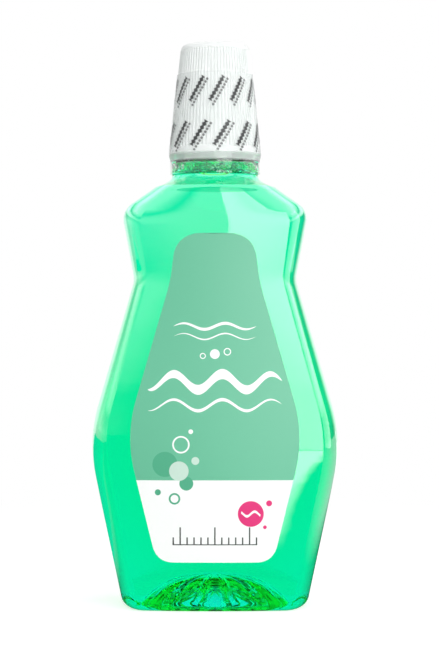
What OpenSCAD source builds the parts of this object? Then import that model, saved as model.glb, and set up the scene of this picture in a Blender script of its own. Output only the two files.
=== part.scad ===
// Mouthwash bottle, one litre: waisted clear bottle, liquid, film label, ribbed dosing cap,
// sealing washer and clear shrink band. Millimetres, +Z up, front of the bottle towards -Y,
// origin at the centre of the foot.

/* [Body outline, seen from the front] */
// Height of the body, from the table to the underside of the neck ring
body_h = 191.4; // [187:0.2:196]
// Width at the foot, before its edge is rounded
base_w = 82.4; // [74:0.2:90]
// Width at the hip, where the two straight flanks would meet
hip_w = 113.4; // [104:0.2:120]
// Height of the hip
hip_z = 73.5; // [66:0.5:80]
// Length of flank that the hip's rounding takes on each side
hip_blend = 16; // [8:0.5:22]
// Width at the waist, where the flanks would meet
waist_w = 72.2; // [66:0.2:78]
// Height of the waist
waist_z = 144.7; // [138:0.5:150]
// Length of flank that the waist's rounding takes on each side
waist_blend = 2.6; // [1.5:0.1:6]
// Width at the shoulder corner
shoulder_w = 83.6; // [78:0.2:90]
// Height of the shoulder corner
shoulder_z = 175.6; // [171:0.2:178]
// Length that the shoulder's rounding takes on each side
shoulder_blend = 5.6; // [3:0.1:8]

/* [Body depth and panels] */
// Depth at the foot, before its edge is rounded
base_d = 56; // [52:0.5:62]
// Depth at the hip, where the front's two slopes would meet
hip_d = 70.4; // [66:0.2:76]
// Depth at the waist
waist_d = 58; // [54:0.5:62]
// Depth at the crest, the front panel's upper edge
crest_d = 50; // [46:0.5:54]
// Width of the crest
crest_w = 33; // [26:0.5:36]
// Height from the crest up to the neck ring
crest_drop = 5.6; // [4.5:0.1:7]
// How far the front and back panels lie inside the body's outline
bevel = 8; // [6:0.1:10]
// Crown of the front and back panels
panel_crown = 2.4; // [1:0.1:3]
// Wall of the blown body
wall = 0.6; // [0.4:0.05:0.9]
// Rounding of the foot's outer edge
foot_r = 3.6; // [2.5:0.1:5]
// Width of the flat ring that the bottle stands on
foot_w = 3.6; // [2.5:0.1:5]
// Height of the pushed-up base above the table
push_h = 11; // [6:0.5:12]
// Thickness of the base
base_wall = 1; // [0.8:0.05:1.4]

/* [Neck] */
// Outer diameter of the wide ring between the shoulders and the cap
ring_d = 39; // [37.6:0.1:39.2]
// Height of that ring
ring_h = 6.8; // [5.5:0.1:8]
// Wall of the ring
ring_wall = 1.3; // [1.1:0.1:1.8]
// Outer diameter of the finish, which carries the thread
finish_d = 28.6; // [28.2:0.1:29]
// Bore of the finish
bore_d = 25.4; // [24:0.1:26]
// Height of the finish above the ring
finish_h = 17.8; // [16.5:0.1:19]
// Width of each child-resistant lug around the neck, in degrees
lug_turn = 16; // [10:1:24]
// Height of the lugs above the ring
lug_h = 4; // [2.5:0.1:5]
// Thickness of the lugs
lug_t = 0.9; // [0.6:0.1:1]

/* [Liquid] */
// Level of the liquid below the closed shoulder of the neck ring
fill_drop = 0.7; // [0.6:0.1:3]
// Clearance between the liquid's solid and the bottle
fill_gap = 0.1; // [0.05:0.01:0.2]

/* [Cap] */
// Height of the cap
cap_h = 49.5; // [44:0.5:54]
// Diameter of the cap over its ribs at its open end
cap_base_d = 40.8; // [40.4:0.1:42]
// Diameter of the cap over its ribs at its closed end, before the edge is rounded
cap_top_d = 30.4; // [30:0.1:33]
// Wall of the ribbed outer skirt
cap_wall = 1; // [0.8:0.05:1.1]
// Rounding of the cap's top edge
cap_edge_r = 2.6; // [1.5:0.1:3]
// Thickness of the closed end
cap_roof = 1.4; // [1:0.1:2]
// Height of the smooth rim below the ribs
cap_rim_h = 3.1; // [2:0.1:5]
// Number of ribs
rib_count = 72; // [48:2:84]
// Height of a rib above the skirt
rib_t = 0.45; // [0.3:0.05:0.6]
// Part of the pitch that a rib takes
rib_share = 0.5; // [0.35:0.05:0.6]
// Gap between the neck ring and the cap's open end
cap_gap = 2.3; // [1.5:0.1:3]
// Inner diameter of the threaded skirt
skirt_bore_d = 31.6; // [31.2:0.1:31.8]
// Wall of the threaded skirt and of the dosing cup
skirt_wall = 1; // [0.8:0.05:1.1]
// Inner diameter of the dosing cup where it meets the ledge
cup_bore_d = 25; // [24:0.1:25.6]
// Draft of the dosing cup, as the loss of diameter over its length
cup_draft = 0.8; // [0.4:0.1:1.2]

/* [Sealing washer] */
// Thickness of the space that the washer fills
washer_space = 1; // [0.8:0.1:1.5]
// Clearance above and below the washer
washer_gap = 0.05; // [0.03:0.01:0.1]

/* [Seal band] */
// Thickness of the shrink film
film_t = 0.12; // [0.08:0.01:0.2]
// Clearance between the film and what it covers
film_gap = 0.2; // [0.15:0.01:0.25]
// Length of cap that the band leaves bare at the top
band_bare = 13.4; // [8:0.2:20]
// Gap between the shoulders and the band's hem
hem_gap = 0.6; // [0.4:0.1:1.5]

/* [Front label] */
// Height of the label's lower edge above the table
label_z = 21.8; // [18:0.2:26]
// Height of the label
label_h = 142.7; // [136:0.2:146]
// Width of the label at its lower edge, before the corners are rounded
label_base_w = 50.4; // [44:0.2:56]
// Width of the label at the hip, where its edges would meet
label_hip_w = 77; // [68:0.2:82]
// Width of the label at the waist
label_waist_w = 38.6; // [34:0.2:44]
// Width of the label at its upper edge
label_top_w = 34; // [30:0.2:38]
// Length that the lower corners' rounding takes
label_base_blend = 7.5; // [4:0.5:10]
// Length that the upper corners' rounding takes
label_top_blend = 9.5; // [5:0.5:12]
// Rise of the label's top edge from its corners to its middle
label_arch = 1.2; // [0.4:0.1:2.5]
// Thickness of the label film
label_t = 0.12; // [0.08:0.01:0.2]
// Clearance between the label and the bottle
label_gap = 0.06; // [0.05:0.01:0.1]

/* [Hidden] */
$fn = 96;

crest_z = body_h - crest_drop;
ring_top = body_h + ring_h;
mouth_z = ring_top + finish_h;
cavity_z = ring_top - ring_wall;
ring_r = ring_d / 2;
ring_bore_r = ring_r - ring_wall;
finish_r = finish_d / 2;
bore_r = bore_d / 2;
cap_z = ring_top + cap_gap;
cap_top = cap_z + cap_h;
ledge_z = mouth_z + washer_space;
skirt_r = skirt_bore_d / 2;
cup_r = cup_bore_d / 2;
cup_top_r = (cup_bore_d - cup_draft) / 2;

// Points of one quarter of a body section: steps across the half panel, then around the side
panel_steps = 3;
side_steps = 6;
// The side's curve stops short of square to the panel, which leaves the crease at its edge
side_turn = 82;
// The shell's open end reaches this far up into the wall of the neck ring
seat = 0.7;
// Radius of the shell where it enters the neck ring, in the middle of the ring's wall
seat_r = ring_r - (ring_wall - wall) / 2;
// Rounding of the neck ring's upper edge, outside and inside
ring_edge = 0.9;
ring_inner_edge = 0.5;
// How far the lugs stand in from the edge of the ring's top
lug_inset = 0.15;

// Evenly spaced values from a up to but without b
function steps(a, b, n) = [for (i = [0:n - 1]) a + (b - a) * i / n];

// A point on the straight line from p towards q, t away from p
function towards(p, q, t) = p + (q - p) * t / norm(q - p);

// An outline through corners [height, size, blend]. Each inner corner becomes a curve that
// leaves its two edges one blend away from it. The result is a list of [height, size].
function rounded(c, n = 6) = [
    for (i = [0:len(c) - 1])
        let (p = [c[i][0], c[i][1]])
        if (i == 0 || i == len(c) - 1) p
        else
            let (
                s = towards(p, [c[i - 1][0], c[i - 1][1]], c[i][2]),
                e = towards(p, [c[i + 1][0], c[i + 1][1]], c[i][2])
            )
            for (k = [0:n]) let (u = k / n) s * (1 - u) * (1 - u) + p * 2 * u * (1 - u) + e * u * u
];

side_line = rounded([
    [0, base_w / 2, 0],
    [hip_z, hip_w / 2, hip_blend],
    [waist_z, waist_w / 2, waist_blend],
    [shoulder_z, shoulder_w / 2, shoulder_blend],
    [body_h, seat_r, 0]
]);
depth_line = rounded([
    [0, base_d / 2, 0],
    [hip_z, hip_d / 2, hip_blend * 1.6],
    [waist_z, waist_d / 2, waist_blend * 4],
    [crest_z, crest_d / 2, 1.2],
    [body_h, seat_r, 0]
]);
panel_line = rounded([
    [0, base_w / 2 - bevel, 0],
    [hip_z, hip_w / 2 - bevel, hip_blend],
    [waist_z, waist_w / 2 - bevel * 0.85, waist_blend * 1.5],
    [shoulder_z - bevel * 0.45, shoulder_w / 2 - bevel * 1.1, shoulder_blend * 0.7],
    [crest_z, crest_w / 2, 0]
]);

// Heights of the body's sections, closer together where its outline curves
body_levels = concat(
    steps(foot_r, hip_z - hip_blend, 4),
    steps(hip_z - hip_blend, hip_z + hip_blend, 7),
    steps(hip_z + hip_blend, waist_z - waist_blend, 5),
    steps(waist_z - waist_blend, waist_z + waist_blend, 3),
    steps(waist_z + waist_blend, shoulder_z - shoulder_blend, 3),
    steps(shoulder_z - shoulder_blend, shoulder_z + shoulder_blend * 0.7, 6),
    steps(shoulder_z + shoulder_blend * 0.7, crest_z - 0.5, 2),
    [crest_z - 0.5],
    steps(crest_z + 0.7, body_h, 3),
    [body_h + seat / 3]
);

// How much longer a wall is when measured level than when measured square to the outline
function slant(line, z) =
    let (h = 0.4, lo = max(z - h, 0), hi = min(z + h, body_h))
    norm([1, (lookup(hi, line) - lookup(lo, line)) / (hi - lo)]);

// One quarter of the section at height z, drawn in by e: from the middle of the panel, across
// it, and round the side to the body's widest point. Above the crest it turns into a circle.
function quarter(z, e, r) =
    let (
        a = lookup(z, side_line) - e * slant(side_line, z),
        b = lookup(z, depth_line) - e * slant(depth_line, z),
        p = lookup(z, panel_line) - e * 0.7,
        k = max(0, (z - crest_z) / crest_drop),
        crown = panel_crown * (1 - min(k, 1)),
        n = panel_steps + side_steps,
        flat = [for (j = [0:panel_steps - 1]) let (f = j / panel_steps)
            [p * f, b + crown * (1 - f * f)]],
        side = [for (j = [0:side_steps]) let (t = side_turn * (1 - j / side_steps))
            [p + (a - p) * (cos(t) - cos(side_turn)) / (1 - cos(side_turn)),
             b * sin(t) / sin(side_turn)]],
        body = concat(flat, side),
        circle = [for (j = [0:n]) r * [sin(90 * j / n), cos(90 * j / n)]]
    )
    k >= 1 ? circle : body * (1 - k) + circle * k;

// A whole section from its quarter: front right, back right, back left, front left
function whole(q, z) =
    let (m = len(q) - 1)
    concat(
        [for (j = [0:m - 1]) [q[j].x, -q[j].y, z]],
        [for (j = [0:m - 1]) [q[m - j].x, q[m - j].y, z]],
        [for (j = [0:m - 1]) [-q[j].x, q[j].y, z]],
        [for (j = [0:m - 1]) [-q[m - j].x, -q[m - j].y, z]]
    );

function section(z, e, r) = whole(quarter(z, e, r), z);

// The pushed-up base from its middle outwards, raised by lift. It is an oval
// dome in the middle, and meets the flat ring of the foot in the foot's own outline.
function base_rings(lift) =
    let (
        q = quarter(0, foot_r + foot_w, seat_r),
        m = len(q) - 1,
        oval = [for (j = [0:m]) [q[m].x * sin(90 * j / m), q[0].y * cos(90 * j / m)]]
    )
    [for (s = [0.3, 0.52, 0.7, 0.84, 0.94, 1])
        whole((q * pow(s, 4) + oval * (1 - pow(s, 4))) * s, lift + push_h * (1 - pow(s, 3)))];

// The rounded edge of the foot, the walls up to the neck, and the whole of the outside or inside
function foot_rings(e, lift) = [
    for (t = [0, 25, 50, 72])
        let (z = foot_r * (1 - cos(t)) + lift * cos(t))
        whole(quarter(z, e + foot_r * (1 - sin(t)), seat_r), z)
];
function wall_rings(e, r) = [for (z = body_levels) section(z, e, r)];
function shell_rings(e, lift, r) = concat(base_rings(lift), foot_rings(e, lift), wall_rings(e, r));

// Triangles between each ring of n points and the next, closed by a fan at both ends. The
// first and last points of the list are the fans' centres.
function ring_faces(n, rings) = concat(
    [for (j = [0:n - 1]) [0, 1 + (j + 1) % n, 1 + j]],
    [for (i = [0:rings - 2], j = [0:n - 1], h = [0, 1])
        let (a = 1 + i * n + j, b = 1 + i * n + (j + 1) % n)
        h == 0 ? [a, b, b + n] : [a, b + n, a + n]],
    [for (j = [0:n - 1]) let (a = 1 + (rings - 1) * n, c = 1 + rings * n)
        [a + j, a + (j + 1) % n, c]]
);

// A closed solid through a list of rings, from its lower middle point to its last one
module skin(rings, first, last) {
    n = len(rings[0]);
    points = concat([first], [for (r = rings, p = r) p], [last]);
    faces = [for (f = ring_faces(n, len(rings))) [f[2], f[1], f[0]]];
    polyhedron(points = points, faces = faces, convexity = 8);
}

function reversed(v) = [for (i = [len(v) - 1:-1:0]) v[i]];

// The blown shell is one solid: up the outside, over its open end, and down the inside
module body_shell() {
    top = body_h + seat;
    rim_out = whole(quarter(body_h, 0, seat_r), top);
    rim_in = whole(quarter(body_h, 0, seat_r - wall), top);
    outside = concat(shell_rings(0, 0, seat_r), [rim_out]);
    inside = concat(shell_rings(wall, base_wall, seat_r - wall), [rim_in]);
    skin(concat(outside, reversed(inside)), [0, 0, push_h], [0, 0, push_h + base_wall]);
}

// The neck: a wide ring, its closed shoulder, and the finish up to the mouth
module neck() {
    rotate_extrude()
        polygon([
            [ring_bore_r, body_h],
            [ring_r, body_h],
            [ring_r, ring_top - ring_edge],
            [ring_r - ring_edge, ring_top],
            [finish_r, ring_top],
            [finish_r, mouth_z - 0.6],
            [finish_r - 0.6, mouth_z],
            [bore_r, mouth_z],
            [bore_r, cavity_z + 1.2],
            [bore_r + 1.2, cavity_z],
            [ring_bore_r - ring_inner_edge, cavity_z],
            [ring_bore_r, cavity_z - ring_inner_edge]
        ]);
    lugs();
}

// Two ramped lugs, opposite each other, that stop a cap which isn't squeezed. They stand in
// the space between the cap's two skirts.
module lugs() {
    lug_r = ring_r - ring_edge - lug_inset - lug_t;
    for (side = [0, 180])
        rotate([0, 0, side - lug_turn / 2])
            rotate_extrude(angle = lug_turn)
                polygon([
                    [lug_r, ring_top - 0.3],
                    [lug_r + lug_t, ring_top - 0.3],
                    [lug_r + lug_t, ring_top + lug_h - 1],
                    [lug_r + 0.3, ring_top + lug_h],
                    [lug_r, ring_top + lug_h]
                ]);
}

module bottle() {
    color([0.82, 0.95, 0.91, 0.35]) {
        body_shell();
        neck();
    }
}

// The liquid fills the shell up to its level in the neck ring
module mouthwash() {
    e = wall + fill_gap;
    r = ring_bore_r - fill_gap;
    level = cavity_z - fill_drop;
    rings = concat(shell_rings(e, base_wall + fill_gap, r), [whole(quarter(body_h, 0, r), level)]);
    color([0.25, 0.85, 0.62, 0.85])
        skin(rings, [0, 0, push_h + base_wall + fill_gap], [0, 0, level]);
}

// The label's half width at each height, with its corners rounded. Its top edge
// rises a little towards the middle.
label_line = let (
    top = label_z + label_h,
    corners = rounded([
        [label_z, 0, 0],
        [label_z, label_base_w / 2, label_base_blend],
        [hip_z + 3.3, label_hip_w / 2, hip_blend],
        [waist_z - 1.1, label_waist_w / 2, waist_blend * 2],
        [top - label_arch, label_top_w / 2, label_top_blend],
        [top, label_top_w / 5, label_top_blend / 3],
        [top, 0, 0]
    ])
) [for (i = [1:len(corners) - 2]) corners[i]];

// Distance of the front panel from the bottle's middle plane
function front(x, z) =
    let (p = lookup(z, panel_line))
    lookup(z, depth_line) + panel_crown * (1 - pow(x / p, 2));

// The label is a thin plate that follows the panel. Between the curves of its outline it gets
// further rows, so that it stays on the panel's slopes.
label_rows = let (line = label_line) concat(
    [for (i = [0:len(line) - 2], k = [0:(line[i + 1][0] - line[i][0] > 12 ? 3 : 0)])
        let (n = line[i + 1][0] - line[i][0] > 12 ? 4 : 1) line[i] + (line[i + 1] - line[i]) * k / n],
    [line[len(line) - 1]]
);
label_cols = 8;

// Steps across each row of the label, out along its face and back along its underside
module front_label() {
    m = label_cols;
    rows = [
        for (row = label_rows) concat(
            [for (j = [0:m]) let (x = row[1] * (2 * j / m - 1))
                [x, -front(x, row[0]) - label_gap - label_t, row[0]]],
            [for (j = [m:-1:0]) let (x = row[1] * (2 * j / m - 1))
                [x, -front(x, row[0]) - label_gap, row[0]]]
        )
    ];
    n = 2 * (m + 1);
    last = (len(rows) - 1) * n;
    ends = [for (j = [0:m - 1], up = [0, 1], h = [0, 1])
        let (a = up * last + j, b = up * last + n - 1 - j,
             f = h == 0 ? [a, a + 1, b - 1] : [a, b - 1, b])
        up == 0 ? [f[2], f[1], f[0]] : f];
    sides = [for (i = [0:len(rows) - 2], j = [0:n - 1], h = [0, 1])
        let (a = i * n + j, b = i * n + (j + 1) % n)
        h == 0 ? [a, b, b + n] : [a, b + n, a + n]];
    faces = [for (f = concat(sides, ends)) [f[2], f[1], f[0]]];
    color([0.47, 0.79, 0.65])
        polyhedron(points = [for (r = rows, p = r) p], faces = faces, convexity = 4);
}

// A foam washer between the bottle's mouth and the ledge inside the cap
module seal_ring() {
    color([0.93, 0.94, 0.9])
        translate([0, 0, mouth_z + washer_gap])
            difference() {
                cylinder(r = finish_r, h = washer_space - 2 * washer_gap);
                translate([0, 0, -1])
                    cylinder(r = bore_r, h = washer_space + 2);
            }
}

// Radius of the cap over its ribs and its smooth rim, at height z
function cap_r(z) = (cap_base_d + (cap_top_d - cap_base_d) * (z - cap_z) / cap_h) / 2;

// The cap is one moulding: a tapered outer skirt, and inside it the dosing cup, which widens
// at a ledge into the threaded skirt
module cap() {
    inner = rib_t + cap_wall;
    low = cap_z + cap_rim_h;
    high = cap_top - cap_edge_r;
    cup_out = cup_top_r + skirt_wall;
    join = cap_top - cap_roof - 1.5;
    color([0.95, 0.96, 0.96]) {
        rotate_extrude()
            polygon(concat(
                [[0, cap_top - cap_roof], [0, cap_top]],
                [for (t = [0:15:90])
                    [cap_r(high) - rib_t * 0.4 - cap_edge_r * (1 - sin(t)),
                     cap_top - cap_edge_r * (1 - cos(t))]],
                [
                    [cap_r(high) - rib_t, high - 0.4],
                    [cap_r(low + rib_t) - rib_t, low + rib_t],
                    [cap_r(low), low],
                    [cap_r(cap_z + 0.5), cap_z + 0.5],
                    [cap_r(cap_z) - 0.4, cap_z],
                    [cap_r(cap_z) - cap_wall - 0.3, cap_z],
                    [cap_r(ledge_z) - inner, ledge_z],
                    [max(cap_r(join) - inner, cup_out + 0.2), join],
                    [cup_out, join],
                    [cup_r + skirt_wall, ledge_z + skirt_wall],
                    [skirt_r + skirt_wall, ledge_z + skirt_wall],
                    [skirt_r + skirt_wall, cap_z + 2],
                    [skirt_r, cap_z + 2],
                    [skirt_r, ledge_z],
                    [cup_r, ledge_z],
                    [cup_top_r, cap_top - cap_roof - 1],
                    [cup_top_r - 1, cap_top - cap_roof]
                ]
            ));
        ribs();
    }
}

// The ribs stand on the skirt between the smooth rim and the rounded top edge. Their tips are
// flush with the rim.
module ribs() {
    turn = 360 / rib_count * rib_share;
    low = cap_z + cap_rim_h;
    high = cap_top - cap_edge_r;
    root = 0.3;
    for (i = [0:rib_count - 1])
        rotate([0, 0, 360 / rib_count * i - turn / 2])
            rotate_extrude(angle = turn)
                polygon([
                    [cap_r(low) - rib_t - root, low - 0.3],
                    [cap_r(low) - 0.1, low - 0.3],
                    [cap_r(low + 0.3), low + 0.3],
                    [cap_r(high - 0.3), high - 0.3],
                    [cap_r(high) - rib_t - root, high + 0.7]
                ]);
}

// Shrink film over the ribs, drawn in under the cap's rim to the neck ring
module seal_band() {
    low = body_h + hem_gap;
    high = cap_top - band_bare;
    hem_r = ring_r + film_gap;
    inside = [
        [hem_r, low],
        [hem_r, ring_top - 1],
        [cap_r(cap_z) + film_gap, cap_z - 0.4],
        [cap_r(cap_z + 1) + film_gap, cap_z + 1],
        [cap_r(high) + film_gap, high]
    ];
    color([0.9, 0.9, 0.95, 0.3])
        rotate_extrude()
            polygon(concat(inside, [for (p = reversed(inside)) p + [film_t, 0]]));
}

bottle();
mouthwash();
front_label();
seal_ring();
cap();
seal_band();
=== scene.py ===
import math

import bpy
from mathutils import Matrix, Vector, noise


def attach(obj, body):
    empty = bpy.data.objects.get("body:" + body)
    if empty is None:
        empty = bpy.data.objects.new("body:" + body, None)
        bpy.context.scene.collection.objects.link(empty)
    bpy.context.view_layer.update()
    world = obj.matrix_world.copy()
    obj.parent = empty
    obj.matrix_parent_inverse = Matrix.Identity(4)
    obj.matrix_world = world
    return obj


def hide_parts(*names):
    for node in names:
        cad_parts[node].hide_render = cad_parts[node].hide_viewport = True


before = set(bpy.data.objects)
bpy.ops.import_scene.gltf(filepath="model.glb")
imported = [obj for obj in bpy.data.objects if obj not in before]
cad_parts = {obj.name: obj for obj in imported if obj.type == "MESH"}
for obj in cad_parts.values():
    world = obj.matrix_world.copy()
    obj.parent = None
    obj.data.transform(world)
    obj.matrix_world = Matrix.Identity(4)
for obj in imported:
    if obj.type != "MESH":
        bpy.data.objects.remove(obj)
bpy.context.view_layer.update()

# Sizes in millimetres, the same as in the part's source
MM = 0.001
BODY_H = 191.4
BASE_W, HIP_W, WAIST_W, SHOULDER_W = 82.4, 113.4, 72.2, 83.6
HIP_Z, WAIST_Z, SHOULDER_Z = 73.5, 144.7, 175.6
HIP_BLEND, WAIST_BLEND, SHOULDER_BLEND = 16, 2.6, 5.6
BASE_D, HIP_D, WAIST_D, CREST_D = 56, 70.4, 58, 50
CREST_W, CREST_DROP, BEVEL, PANEL_CROWN = 33, 5.6, 8, 2.4
WALL, FOOT_R, FOOT_W, BASE_WALL = 0.6, 3.6, 3.6, 1.0
RING_D, RING_H, RING_WALL = 39, 6.8, 1.3
FINISH_D, BORE_D, FINISH_H = 28.6, 25.4, 17.8
LUG_TURN, LUG_H, LUG_T = 16, 4, 0.9
CAP_H, CAP_BASE_D, CAP_TOP_D, CAP_WALL = 49.5, 40.8, 30.4, 1.0
CAP_EDGE_R, CAP_ROOF, CAP_RIM_H, CAP_GAP = 2.6, 1.4, 3.1, 2.3
RIB_COUNT, RIB_T = 72, 0.45
SKIRT_BORE_D, SKIRT_WALL, CUP_BORE_D, CUP_DRAFT = 31.6, 1.0, 25, 0.8
WASHER_SPACE, WASHER_GAP = 1, 0.05
FILM_T, FILM_GAP, BAND_BARE, HEM_GAP = 0.12, 0.2, 13.4, 0.6
LABEL_Z, LABEL_H = 21.8, 142.7
LABEL_BASE_W, LABEL_HIP_W, LABEL_WAIST_W, LABEL_TOP_W = 50.4, 77, 38.6, 34
LABEL_BASE_BLEND, LABEL_TOP_BLEND, LABEL_ARCH, LABEL_T, LABEL_GAP = 7.5, 9.5, 1.2, 0.12, 0.04
THREAD_PITCH, THREAD_TURNS = 4.23, 1.5
SIDE_TURN = math.radians(82)

CREST_Z = BODY_H - CREST_DROP
RING_TOP = BODY_H + RING_H
MOUTH_Z = RING_TOP + FINISH_H
CAVITY_Z = RING_TOP - RING_WALL
RING_R = RING_D / 2
RING_BORE_R = RING_R - RING_WALL
FINISH_R = FINISH_D / 2
BORE_R = BORE_D / 2
CAP_Z = RING_TOP + CAP_GAP
CAP_TOP = CAP_Z + CAP_H
LEDGE_Z = MOUTH_Z + WASHER_SPACE
SKIRT_R = SKIRT_BORE_D / 2
CUP_R = CUP_BORE_D / 2
CUP_TOP_R = (CUP_BORE_D - CUP_DRAFT) / 2
SEAT_R = RING_R - (RING_WALL - WALL) / 2


# The body's outlines and sections


def rounded(corners, n=12):
    """An outline [(height, size)] through corners (height, size, blend)."""
    line = []
    last = len(corners) - 1
    for i, (z, size, blend) in enumerate(corners):
        if i in (0, last):
            line.append((z, size))
            continue
        ends = []
        for other in (corners[i - 1], corners[i + 1]):
            dz, ds = other[0] - z, other[1] - size
            far = math.hypot(dz, ds)
            ends.append((z + dz * blend / far, size + ds * blend / far))
        for k in range(n + 1):
            u = k / n
            a, b, c = (1 - u) ** 2, 2 * u * (1 - u), u * u
            line.append(
                (a * ends[0][0] + b * z + c * ends[1][0],
                 a * ends[0][1] + b * size + c * ends[1][1])
            )
    return line


def at(line, z):
    """The outline's size at height z."""
    if z <= line[0][0]:
        return line[0][1]
    for (z0, s0), (z1, s1) in zip(line, line[1:]):
        if z <= z1:
            return s0 + (s1 - s0) * (z - z0) / (z1 - z0) if z1 > z0 else s1
    return line[-1][1]


SIDE_LINE = rounded([
    (0, BASE_W / 2, 0),
    (HIP_Z, HIP_W / 2, HIP_BLEND),
    (WAIST_Z, WAIST_W / 2, WAIST_BLEND),
    (SHOULDER_Z, SHOULDER_W / 2, SHOULDER_BLEND),
    (BODY_H, SEAT_R, 0),
])
DEPTH_LINE = rounded([
    (0, BASE_D / 2, 0),
    (HIP_Z, HIP_D / 2, HIP_BLEND * 1.6),
    (WAIST_Z, WAIST_D / 2, WAIST_BLEND * 4),
    (CREST_Z, CREST_D / 2, 1.6),
    (BODY_H, SEAT_R, 0),
])
PANEL_LINE = rounded([
    (0, BASE_W / 2 - BEVEL, 0),
    (HIP_Z, HIP_W / 2 - BEVEL, HIP_BLEND),
    (WAIST_Z, WAIST_W / 2 - BEVEL * 0.85, WAIST_BLEND * 1.5),
    (SHOULDER_Z - BEVEL * 0.45, SHOULDER_W / 2 - BEVEL * 1.1, SHOULDER_BLEND * 0.7),
    (CREST_Z, CREST_W / 2, 0),
])


def slant(line, z):
    """How much longer a wall is measured level than measured square to the outline."""
    low, high = max(z - 0.4, 0), min(z + 0.4, BODY_H)
    return math.hypot(1, (at(line, high) - at(line, low)) / (high - low))


PANEL_STEPS, SIDE_STEPS = 12, 26
QUARTER = PANEL_STEPS + SIDE_STEPS


def quarter(z, e, r):
    """A quarter of the body's section at z, drawn in by e.

    Above the crest it turns into a circle of radius r.
    """
    a = at(SIDE_LINE, z) - e * slant(SIDE_LINE, z)
    b = at(DEPTH_LINE, z) - e * slant(DEPTH_LINE, z)
    p = at(PANEL_LINE, z) - e * 0.7
    k = min(max(0.0, (z - CREST_Z) / CREST_DROP), 1.0)
    crown = PANEL_CROWN * (1 - k)
    points = []
    for j in range(PANEL_STEPS):
        f = j / PANEL_STEPS
        points.append((p * f, b + crown * (1 - f * f)))
    for j in range(SIDE_STEPS + 1):
        t = SIDE_TURN * (1 - j / SIDE_STEPS)
        reach = (math.cos(t) - math.cos(SIDE_TURN)) / (1 - math.cos(SIDE_TURN))
        points.append((p + (a - p) * reach, b * math.sin(t) / math.sin(SIDE_TURN)))
    ring = []
    for j, (x, y) in enumerate(points):
        turn = math.radians(90 * j / QUARTER)
        ring.append((x * (1 - k) + r * math.sin(turn) * k, y * (1 - k) + r * math.cos(turn) * k))
    return ring


def whole(q, z):
    """A whole section from its quarter, at height z or at heights z(x, y)."""
    m = len(q) - 1
    flat = [(q[j][0], -q[j][1]) for j in range(m)]
    flat += [(q[m - j][0], q[m - j][1]) for j in range(m)]
    flat += [(-q[j][0], q[j][1]) for j in range(m)]
    flat += [(-q[m - j][0], -q[m - j][1]) for j in range(m)]
    if callable(z):
        return [(x, y, z(x, y)) for x, y in flat]
    return [(x, y, z) for x, y in flat]


def circle(r, z):
    """A level circle with as many points as the body's sections."""
    turns = [math.radians(90 * j / QUARTER) for j in range(QUARTER + 1)]
    return whole([(r * math.sin(t), r * math.cos(t)) for t in turns], z)


def body_levels():
    """Heights of the body's sections: where its outlines curve, and every few millimetres."""
    wanted = sorted(
        [z for line in (SIDE_LINE, DEPTH_LINE, PANEL_LINE) for z, _ in line]
        + [4 * i for i in range(60)]
        + [CREST_Z + 0.45 * i for i in range(-12, 13)]
    )
    levels = []
    for z in wanted:
        if FOOT_R + 0.2 < z < BODY_H - 0.1 and (not levels or z - levels[-1] > 0.4):
            levels.append(z)
    return levels


BODY_LEVELS = body_levels()


# The base as the photo shows it through the liquid: ribbed, and taller than the plain dome
# in the part's source
PUSH_H, BASE_RIBS, BASE_RIB_H = 15, 14, 3.2
BASE_STEPS = 24
RIB_FAN = 1.35
FOOT_STEPS, FOOT_STEP_TURN = 8, 9.5


def base_rings(lift):
    """The pushed-up base, an oval dome with radial ribs, from its middle outwards."""
    q = quarter(0, FOOT_R + FOOT_W, SEAT_R)
    m = len(q) - 1
    turns = [math.radians(90 * j / m) for j in range(m + 1)]
    oval = [(q[m][0] * math.sin(t), q[0][1] * math.cos(t)) for t in turns]
    rings = []
    for i in range(1, BASE_STEPS + 1):
        s = i / BASE_STEPS
        share = s ** 4
        points = [((x * share + ox * (1 - share)) * s, (y * share + oy * (1 - share)) * s)
                  for (x, y), (ox, oy) in zip(q, oval)]
        rise = lift + PUSH_H * (1 - s ** 3)
        ribs = BASE_RIB_H * math.sin(math.pi * min(1, s * 1.02)) ** 0.8

        def height(x, y, rise=rise, ribs=ribs):
            """The dome's height, less where a rib runs."""
            turn = math.atan2(y * RIB_FAN, x)
            ridge = max(0.0, math.cos(turn * BASE_RIBS)) ** 3
            return rise - ribs * ridge

        rings.append(whole(points, height))
    return rings


def foot_rings(e, lift):
    """The rounded foot, from where the bottle stands up to the wall."""
    rings = []
    for i in range(FOOT_STEPS + 1):
        t = math.radians(FOOT_STEP_TURN * i)
        z = FOOT_R * (1 - math.cos(t)) + lift * math.cos(t)
        rings.append(whole(quarter(z, e + FOOT_R * (1 - math.sin(t)), SEAT_R), z))
    return rings


def shell_rings(e, lift, r):
    """Base, foot and walls up to the neck, drawn in by e, with the base lifted."""
    walls = [whole(quarter(z, e, r), z) for z in BODY_LEVELS]
    return base_rings(lift) + foot_rings(e, lift) + walls


# Meshes from points and faces


def mesh_piece(name, points, faces, materials, crease=30, face_slots=None):
    """A piece from points in millimetres, smooth but for edges sharper than crease degrees."""
    mesh = bpy.data.meshes.new(name)
    mesh.from_pydata([(x * MM, y * MM, z * MM) for x, y, z in points], [], faces)
    for m in materials:
        mesh.materials.append(m)
    if face_slots:
        mesh.polygons.foreach_set("material_index", face_slots)
    mesh.shade_smooth()
    mesh.set_sharp_from_angle(angle=math.radians(crease))
    mesh.update()
    obj = bpy.data.objects.new(name, mesh)
    bpy.context.collection.objects.link(obj)
    return obj


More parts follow.
